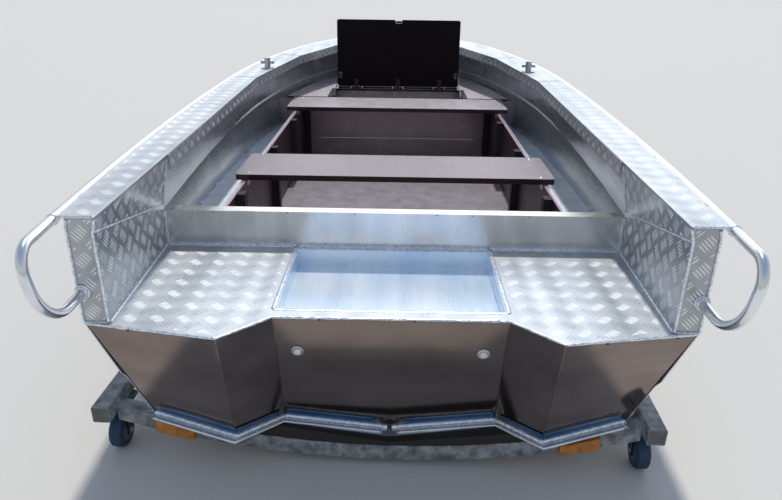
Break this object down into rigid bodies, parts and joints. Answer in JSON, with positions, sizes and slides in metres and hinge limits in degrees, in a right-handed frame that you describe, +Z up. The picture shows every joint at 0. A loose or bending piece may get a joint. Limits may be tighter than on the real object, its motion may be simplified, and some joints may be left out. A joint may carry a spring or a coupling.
{
  "type": "aluminium fishing boat on a wheeled cradle",
  "caption": "Open welded aluminium fishing boat with a stepped stern, plank seats and a hinged bow locker lid, standing on a wheeled steel cradle.",
  "frame": {"origin": "on the floor under the middle of the whole length and beam", "axes": "+X to starboard, +Y to the bow, +Z up"},
  "size_m": [1.6716, 4.0745, 1.0126],
  "materials": {
    "hull": "mill-finish sheet with fine scratches",
    "tread": "bright five-bar treadplate",
    "tube": "bright drawn tube",
    "fitting": "satin extrusion",
    "shelf": "satin sheet",
    "plug": "moulded white plastic",
    "plywood": "film-faced plywood",
    "zinc": "zinc plated",
    "steel": "weathered grey paint on steel",
    "rubber": "black rubber",
    "block": "orange-brown block",
    "tyre": "blue rubber"
  },
  "bodies": {
    "boat": {"bottom_plate": "hull", "side_sheets": "hull", "chine_profiles": "hull", "transom": "hull", "keelson": "hull", "engine_well": "hull", "stern_end_plates": "hull", "well_walls": "hull", "aft_bulkhead": "hull", "bow_bulkhead": "hull", "deck_beam": "hull", "floor_bearers": "hull", "stem": "hull", "platforms": "tread", "gunwales": "tread", "bow_plate": "tread", "rails": "tube", "bollards": "fitting", "bow_eye": "fitting", "drain_fittings": "fitting", "locker_angles": "fitting", "hatch_angles": "fitting", "locker_posts": "fitting", "side_shelves": "shelf", "drain_plugs": "plug", "seat_brackets": "plug", "floor": "plywood", "locker_panels": "plywood", "aft_seat": "plywood", "forward_seat": "plywood", "bow_deck": "plywood", "hinge_leaves": "zinc", "stay_feet": "zinc", "caster_plates": "zinc", "cradle_tubes": "steel", "cradle_bearers": "steel", "bearer_rubbers": "rubber", "stop_blocks": "block"},
    "lid": {"lid": "plywood", "hinge_straps": "zinc", "lid_brackets": "zinc"},
    "stay_lower": {"stay_arms_lower": "zinc"},
    "stay_upper": {"stay_arms_upper": "zinc"},
    "fork_aft_right": {"fork_aft_right": "zinc"},
    "wheel_aft_right": {"wheel_aft_right": "tyre"},
    "fork_aft_left": {"fork_aft_left": "zinc"},
    "wheel_aft_left": {"wheel_aft_left": "tyre"},
    "fork_fore_right": {"fork_fore_right": "zinc"},
    "wheel_fore_right": {"wheel_fore_right": "tyre"},
    "fork_fore_left": {"fork_fore_left": "zinc"},
    "wheel_fore_left": {"wheel_fore_left": "tyre"}
  },
  "joints": [
    {"name": "lid_hinge", "type": "hinge", "parent": "boat", "child": "lid", "pos_m": [0, 0.9568, 0.609], "axis": [1, 0, 0], "range_deg": [0, 92.4]},
    {"name": "stay_foot", "type": "hinge", "parent": "boat", "child": "stay_lower", "pos_m": [0, 0.7568, 0.588], "axis": [1, 0, 0], "range_deg": [-72, 2]},
    {"name": "stay_head", "type": "hinge", "parent": "lid", "child": "stay_upper", "pos_m": [0, 0.95195, 0.68427], "axis": [1, 0, 0], "range_deg": [-65, 2]},
    {"name": "caster_swivel_aft_right", "type": "hinge", "parent": "boat", "child": "fork_aft_right", "pos_m": [0.71349, -1.72015, 0.13], "axis": [0, 0, 1], "continuous": true},
    {"name": "wheel_spin_aft_right", "type": "hinge", "parent": "fork_aft_right", "child": "wheel_aft_right", "pos_m": [0.71257, -1.74813, 0.05], "axis": [0.9995, -0.0332, 0], "continuous": true},
    {"name": "caster_swivel_aft_left", "type": "hinge", "parent": "boat", "child": "fork_aft_left", "pos_m": [-0.78568, -1.67042, 0.13], "axis": [0, 0, 1], "continuous": true},
    {"name": "wheel_spin_aft_left", "type": "hinge", "parent": "fork_aft_left", "child": "wheel_aft_left", "pos_m": [-0.78661, -1.6984, 0.05], "axis": [0.9995, -0.0332, 0], "continuous": true},
    {"name": "caster_swivel_fore_right", "type": "hinge", "parent": "boat", "child": "fork_fore_right", "pos_m": [0.79346, 0.69053, 0.13], "axis": [0, 0, 1], "continuous": true},
    {"name": "wheel_spin_fore_right", "type": "hinge", "parent": "fork_fore_right", "child": "wheel_fore_right", "pos_m": [0.79254, 0.66254, 0.05], "axis": [0.9995, -0.0332, 0], "continuous": true},
    {"name": "caster_swivel_fore_left", "type": "hinge", "parent": "boat", "child": "fork_fore_left", "pos_m": [-0.70571, 0.74026, 0.13], "axis": [0, 0, 1], "continuous": true},
    {"name": "wheel_spin_fore_left", "type": "hinge", "parent": "fork_fore_left", "child": "wheel_fore_left", "pos_m": [-0.70664, 0.71227, 0.05], "axis": [0.9995, -0.0332, 0], "continuous": true}
  ],
  "couplings": [
    {"joint": "stay_foot", "follows": "lid_hinge", "ratio": -0.76066},
    {"joint": "stay_head", "follows": "lid_hinge", "ratio": -0.67917}
  ]
}
